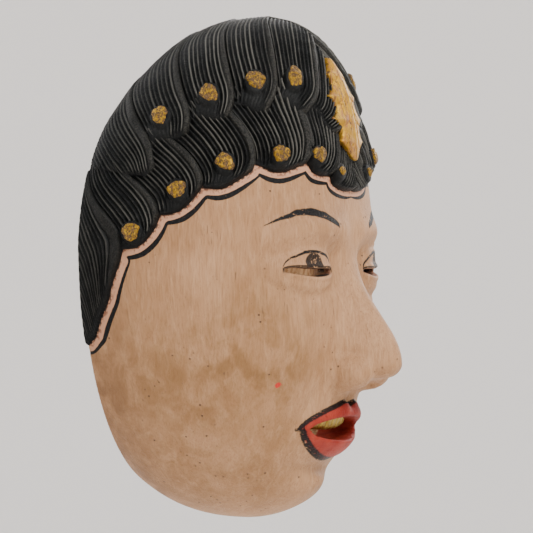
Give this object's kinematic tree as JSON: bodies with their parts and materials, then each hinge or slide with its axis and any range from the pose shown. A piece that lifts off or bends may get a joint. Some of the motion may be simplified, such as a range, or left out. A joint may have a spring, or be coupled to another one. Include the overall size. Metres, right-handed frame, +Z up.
{
  "type": "carved wooden mask",
  "caption": "Hollow carved and painted wooden dance mask with wavy hair in relief, a straight nose, parted lips, a ring hanger and a bite strap.",
  "frame": {"origin": "middle of the plane of the back rim, at the height of the eyes", "axes": "+Z up along the mask's height, the mask looks along -Y, +Y towards the wearer or the wall, +X to the mask's own left"},
  "size_m": [0.142, 0.1, 0.1902],
  "materials": {
    "painted_wood": "worn matte paint",
    "black_hair": "worn black paint",
    "gilding": "rough gold paint",
    "steel": "dull zinc",
    "leather": "worn vegetable-tanned leather",
    "brass": "tarnished"
  },
  "bodies": {
    "mask": {"face_shell": "painted_wood", "hair_crown": "black_hair", "curl_bosses": "gilding", "forehead_ornament": "gilding", "upper_teeth": "gilding", "hanger_plate": "steel", "hanger_screw": "steel", "bite_strap": "leather", "strap_tacks": "brass"},
    "ring": {"hanger_ring": "steel"}
  },
  "joints": [
    {"name": "ring_swing", "type": "hinge", "parent": "mask", "child": "ring", "pos_m": [0, -0.0018, 0.0715], "axis": [1, 0, 0], "range_deg": [0, 180]}
  ]
}
